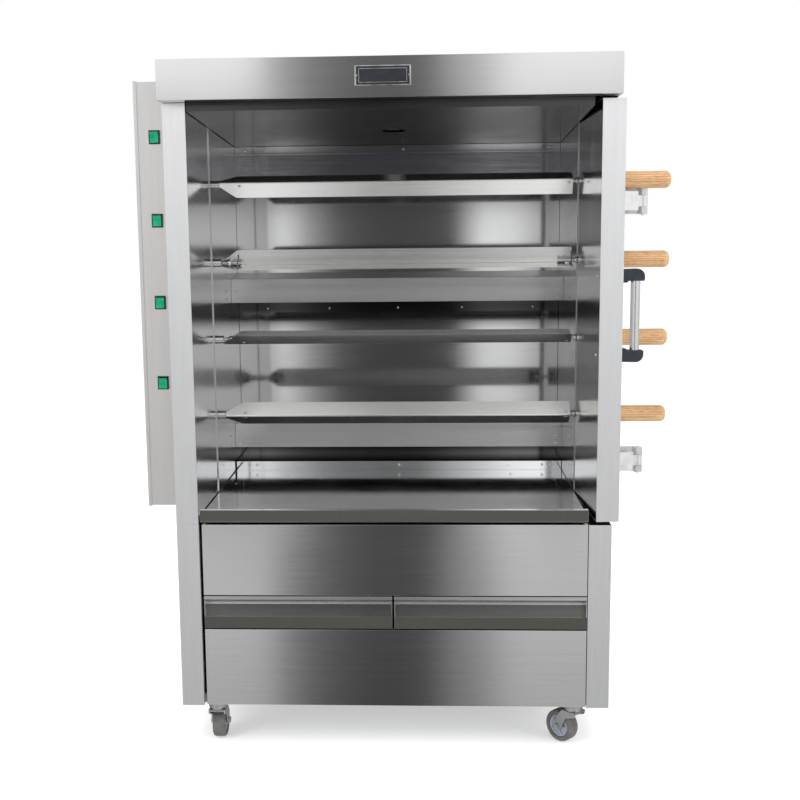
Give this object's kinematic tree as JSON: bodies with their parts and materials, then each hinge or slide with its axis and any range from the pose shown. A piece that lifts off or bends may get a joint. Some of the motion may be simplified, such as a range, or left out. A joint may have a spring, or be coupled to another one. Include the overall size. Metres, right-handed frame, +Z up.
{
  "type": "rotisserie oven",
  "caption": "Floor-standing gas rotisserie oven on casters: powered horizontal spits in an open-fronted steel cabinet, side door with bar handle, drawers below.",
  "frame": {"origin": "on the floor, under the centre of the whole object's bounding box", "axes": "+X to the operator's right along the front, +Y from the front to the back, +Z up"},
  "size_m": [1.235, 0.7778, 1.572],
  "materials": {
    "brushed_steel": "satin brushed stainless sheet",
    "liner_steel": "bright mirror-like stainless lining",
    "zinc_plate": "dull zinc-plated steel",
    "cast_alloy": "matt die-cast alloy",
    "dark_metal": "dark oxidised metal",
    "black_plastic": "satin black plastic",
    "green_plastic": "translucent green plastic",
    "beech_wood": "oiled turned beech",
    "dark_plate": "dark printed plate, semi-gloss",
    "grey_tyre": "matt grey rubber"
  },
  "bodies": {
    "frame": {"base_left_side": "brushed_steel", "base_right_side": "brushed_steel", "base_back": "brushed_steel", "upper_fascia": "brushed_steel", "lower_fascia": "brushed_steel", "drawer_runners": "brushed_steel", "left_outer_panel": "brushed_steel", "right_rear_panel": "brushed_steel", "back_cover": "brushed_steel", "hood": "brushed_steel", "motor_housing": "brushed_steel", "motor_cover": "brushed_steel", "left_inner_liner": "liner_steel", "right_inner_liner": "liner_steel", "back_wall": "liner_steel", "ceiling_panel": "liner_steel", "drip_pan": "liner_steel", "burner_shield_upper": "liner_steel", "burner_shield_lower": "liner_steel", "base_bottom": "zinc_plate", "flue_duct": "zinc_plate", "hinge_bracket_upper": "cast_alloy", "hinge_bracket_lower": "cast_alloy", "burner_pipework": "dark_metal", "drive_motors": "dark_metal", "switch_bezels": "black_plastic", "nameplate": "dark_plate"},
    "left_drawer": {"left_drawer": "brushed_steel"},
    "right_drawer": {"right_drawer": "brushed_steel"},
    "side_door": {"side_door_shell": "brushed_steel", "side_door_liner": "liner_steel", "door_pull_handle": "black_plastic", "hinge_arm_upper": "cast_alloy", "hinge_arm_lower": "cast_alloy"},
    "spit_1": {"spit_blade_1": "brushed_steel", "spit_handle_1": "beech_wood", "drive_socket_1": "brushed_steel"},
    "switch_1": {"rocker_1": "green_plastic"},
    "caster_swivel_1": {"caster_fork_1": "zinc_plate"},
    "caster_roll_1": {"caster_wheel_1": "grey_tyre"},
    "spit_2": {"spit_blade_2": "brushed_steel", "spit_handle_2": "beech_wood", "drive_socket_2": "brushed_steel"},
    "switch_2": {"rocker_2": "green_plastic"},
    "caster_swivel_2": {"caster_fork_2": "zinc_plate"},
    "caster_roll_2": {"caster_wheel_2": "grey_tyre"},
    "spit_3": {"spit_blade_3": "brushed_steel", "spit_handle_3": "beech_wood", "drive_socket_3": "brushed_steel"},
    "switch_3": {"rocker_3": "green_plastic"},
    "caster_swivel_3": {"caster_fork_3": "zinc_plate"},
    "caster_roll_3": {"caster_wheel_3": "grey_tyre"},
    "spit_4": {"spit_blade_4": "brushed_steel", "spit_handle_4": "beech_wood", "drive_socket_4": "brushed_steel"},
    "switch_4": {"rocker_4": "green_plastic"},
    "caster_swivel_4": {"caster_fork_4": "zinc_plate"},
    "caster_roll_4": {"caster_wheel_4": "grey_tyre"},
    "tap_1": {"tap_knob_1": "black_plastic"},
    "tap_2": {"tap_knob_2": "black_plastic"}
  },
  "joints": [
    {"name": "left_drawer_slide", "type": "slide", "parent": "frame", "child": "left_drawer", "axis": [0, -1, 0], "range_m": [0, 0.38]},
    {"name": "right_drawer_slide", "type": "slide", "parent": "frame", "child": "right_drawer", "axis": [0, -1, 0], "range_m": [0, 0.38]},
    {"name": "spit_1_turn", "type": "hinge", "parent": "frame", "child": "spit_1", "pos_m": [-0.037, -0.0591, 1.3005], "axis": [1, 0, 0], "continuous": true},
    {"name": "spit_2_turn", "type": "hinge", "parent": "frame", "child": "spit_2", "pos_m": [-0.037, -0.0591, 1.1145], "axis": [1, 0, 0], "continuous": true},
    {"name": "spit_3_turn", "type": "hinge", "parent": "frame", "child": "spit_3", "pos_m": [-0.037, -0.0591, 0.9285], "axis": [1, 0, 0], "continuous": true},
    {"name": "spit_4_turn", "type": "hinge", "parent": "frame", "child": "spit_4", "pos_m": [-0.037, -0.0591, 0.7425], "axis": [1, 0, 0], "continuous": true},
    {"name": "switch_1_rock", "type": "hinge", "parent": "frame", "child": "switch_1", "pos_m": [-0.56975, -0.2226, 1.4015], "axis": [1, 0, 0], "range_deg": [-14, 0]},
    {"name": "switch_2_rock", "type": "hinge", "parent": "frame", "child": "switch_2", "pos_m": [-0.56975, -0.2226, 1.2155], "axis": [1, 0, 0], "range_deg": [-14, 0]},
    {"name": "switch_3_rock", "type": "hinge", "parent": "frame", "child": "switch_3", "pos_m": [-0.56975, -0.2226, 1.0295], "axis": [1, 0, 0], "range_deg": [-14, 0]},
    {"name": "switch_4_rock", "type": "hinge", "parent": "frame", "child": "switch_4", "pos_m": [-0.56975, -0.2226, 0.8435], "axis": [1, 0, 0], "range_deg": [-14, 0]},
    {"name": "side_door_hinge", "type": "hinge", "parent": "frame", "child": "side_door", "pos_m": [0.5585, -0.0391, 1], "axis": [0, 0, 1], "range_deg": [-2.65, 170]},
    {"name": "caster_1_swivel", "type": "hinge", "parent": "frame", "child": "caster_swivel_1", "pos_m": [-0.452, -0.2891, 0.08], "axis": [0, 0, 1], "continuous": true},
    {"name": "caster_1_roll", "type": "hinge", "parent": "caster_swivel_1", "child": "caster_roll_1", "pos_m": [-0.452, -0.2561, 0.0375], "axis": [1, 0, 0], "continuous": true},
    {"name": "caster_2_swivel", "type": "hinge", "parent": "frame", "child": "caster_swivel_2", "pos_m": [0.378, -0.2891, 0.08], "axis": [0, 0, 1], "continuous": true},
    {"name": "caster_2_roll", "type": "hinge", "parent": "caster_swivel_2", "child": "caster_roll_2", "pos_m": [0.35467, -0.26576, 0.0375], "axis": [0.7071, 0.7071, 0], "continuous": true},
    {"name": "caster_3_swivel", "type": "hinge", "parent": "frame", "child": "caster_swivel_3", "pos_m": [-0.452, 0.3009, 0.08], "axis": [0, 0, 1], "continuous": true},
    {"name": "caster_3_roll", "type": "hinge", "parent": "caster_swivel_3", "child": "caster_roll_3", "pos_m": [-0.46329, 0.33191, 0.0375], "axis": [0.9397, 0.342, 0], "continuous": true},
    {"name": "caster_4_swivel", "type": "hinge", "parent": "frame", "child": "caster_swivel_4", "pos_m": [0.378, 0.3009, 0.08], "axis": [0, 0, 1], "continuous": true},
    {"name": "caster_4_roll", "type": "hinge", "parent": "caster_swivel_4", "child": "caster_roll_4", "pos_m": [0.3945, 0.32948, 0.0375], "axis": [0.866, -0.5, 0], "continuous": true},
    {"name": "tap_1_turn", "type": "hinge", "parent": "frame", "child": "tap_1", "pos_m": [0.463, 0.2509, 1.033], "axis": [1, 0, 0], "range_deg": [0, 180]},
    {"name": "tap_2_turn", "type": "hinge", "parent": "frame", "child": "tap_2", "pos_m": [0.463, 0.2509, 0.645], "axis": [1, 0, 0], "range_deg": [0, 180]}
  ]
}
